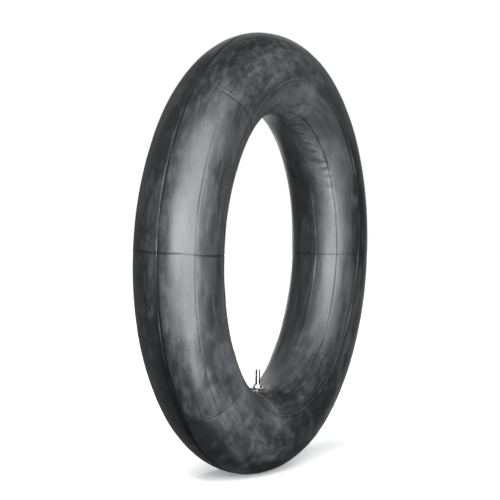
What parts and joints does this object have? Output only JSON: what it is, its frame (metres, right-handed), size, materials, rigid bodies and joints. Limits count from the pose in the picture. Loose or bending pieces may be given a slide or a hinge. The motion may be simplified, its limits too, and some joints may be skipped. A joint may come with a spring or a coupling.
{
  "type": "motorcycle inner tube",
  "caption": "Inflated butyl ring of round section with a straight metal valve, its bridge washer, nuts and spring-loaded core.",
  "frame": {"origin": "centre of the ring, which is the wheel's centre", "axes": "+Y along the ring's axis, which is the wheel's axle; +Z along the valve stem, from the valve at the bottom towards the centre; +X along the ring at the valve"},
  "size_m": [0.64, 0.12, 0.64],
  "materials": {
    "butyl": "satin black butyl with mould-release smudges",
    "patch_rubber": "satin black cured patch",
    "plated_brass": "bright nickel plate",
    "zinc_steel": "bright zinc plate",
    "core_brass": "turned brass",
    "spring_steel": "drawn wire",
    "seal_rubber": "matt red sealing rubber"
  },
  "bodies": {
    "tube": {"tube_body": "butyl", "valve_patch": "patch_rubber", "valve_stem": "plated_brass", "bridge_washer": "zinc_steel", "base_nut": "zinc_steel", "core_plug": "core_brass", "core_barrel": "core_brass", "core_gasket": "seal_rubber", "core_spring": "spring_steel"},
    "rim_washer": {"rim_washer": "zinc_steel"},
    "rim_nut": {"rim_nut": "zinc_steel"},
    "plunger": {"core_pin": "core_brass", "spring_collar": "core_brass", "plunger_seal": "seal_rubber", "plunger_cup": "core_brass"}
  },
  "joints": [
    {"name": "rim_washer_slide", "type": "slide", "parent": "tube", "child": "rim_washer", "axis": [0, 0, 1], "range_m": [0, 0.01984]},
    {"name": "rim_nut_turn", "type": "hinge", "parent": "rim_washer", "child": "rim_nut", "pos_m": [0, 0, -0.193], "axis": [0, 0, 1], "range_deg": [0, 9000]},
    {"name": "core_push", "type": "slide", "parent": "tube", "child": "plunger", "axis": [0, 0, -1], "range_m": [0, 0.0015], "stiffness_N_per_m": 900, "springref_m": -0.0015, "deforming": ["core_spring"]}
  ],
  "couplings": [
    {"joint": "rim_nut_turn", "follows": "rim_washer_slide", "rad_per_m": 7915.8}
  ]
}
